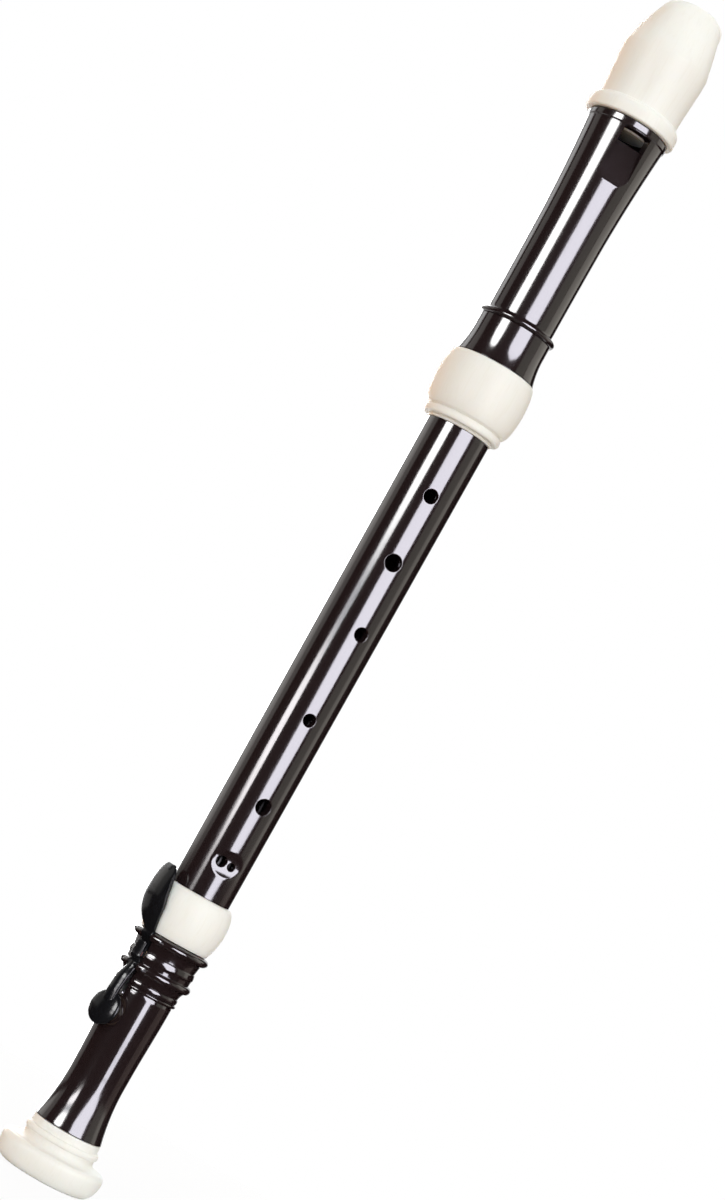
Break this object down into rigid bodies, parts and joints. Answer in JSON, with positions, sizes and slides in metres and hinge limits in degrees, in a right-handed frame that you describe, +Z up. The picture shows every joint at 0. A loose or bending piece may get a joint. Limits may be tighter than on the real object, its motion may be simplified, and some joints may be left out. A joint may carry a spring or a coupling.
{
  "type": "tenor recorder",
  "caption": "Jointed tenor recorder: beaked head with window and windway, bored middle with finger holes, flared foot with a sprung key, and ivory rings.",
  "frame": {"origin": "centre of the flat end face of the foot, on which the recorder stands", "axes": "+Z up the bore to the beak, -Y the side of the window and finger holes, -X the side of the key"},
  "size_m": [0.0538, 0.0538, 0.637],
  "materials": {
    "dark_plastic": "polished dark brown moulded plastic",
    "ivory_plastic": "polished ivory moulded plastic",
    "black_key": "polished black moulded plastic",
    "steel": "bright spring steel",
    "seal_rubber": "black greased rubber",
    "pad_leather": "tan pad skin",
    "cork": "plain sheet cork",
    "felt": "dark red felt"
  },
  "bodies": {
    "foot": {"foot_tube": "dark_plastic", "foot_bell_ring": "ivory_plastic", "foot_socket_ring": "ivory_plastic", "touch_pin": "steel", "cup_pin": "steel", "key_spring": "steel", "spring_screw": "steel", "stop_cork": "cork"},
    "touch": {"touch_lever": "black_key", "link_felt": "felt"},
    "cup": {"cup_lever": "black_key", "key_pad": "pad_leather"},
    "foot_seals": {"foot_seal_low": "seal_rubber", "foot_seal_high": "seal_rubber"},
    "middle": {"middle_tube": "dark_plastic"},
    "head_seals": {"head_seal_low": "seal_rubber", "head_seal_high": "seal_rubber"},
    "head": {"head_tube": "dark_plastic", "head_socket_ring": "ivory_plastic", "beak_cap": "ivory_plastic", "windway_block": "ivory_plastic"}
  },
  "joints": [
    {"name": "touch_hinge", "type": "hinge", "parent": "foot", "child": "touch", "pos_m": [-0.01476, -0.00959, 0.1259], "axis": [-0.5446, 0.8387, 0], "range_deg": [0, 4.7], "stiffness_Nm_per_rad": 0.06, "springref_deg": -8.59},
    {"name": "cup_hinge", "type": "hinge", "parent": "foot", "child": "cup", "pos_m": [-0.01434, -0.00931, 0.1102], "axis": [0.5446, -0.8387, 0], "range_deg": [0, 7.02]},
    {"name": "foot_tenon_slide", "type": "slide", "parent": "foot", "child": "foot_seals", "axis": [0, 0, 1], "range_m": [0, 0.03]},
    {"name": "foot_tenon_twist", "type": "hinge", "parent": "foot_seals", "child": "middle", "pos_m": [0, 0, 0.1425], "axis": [0, 0, 1], "continuous": true},
    {"name": "head_tenon_twist", "type": "hinge", "parent": "middle", "child": "head_seals", "pos_m": [0, 0, 0.4211], "axis": [0, 0, 1], "continuous": true},
    {"name": "head_tenon_slide", "type": "slide", "parent": "head_seals", "child": "head", "axis": [0, 0, 1], "range_m": [0, 0.035]}
  ],
  "couplings": [
    {"joint": "cup_hinge", "follows": "touch_hinge", "ratio": 1.492}
  ]
}
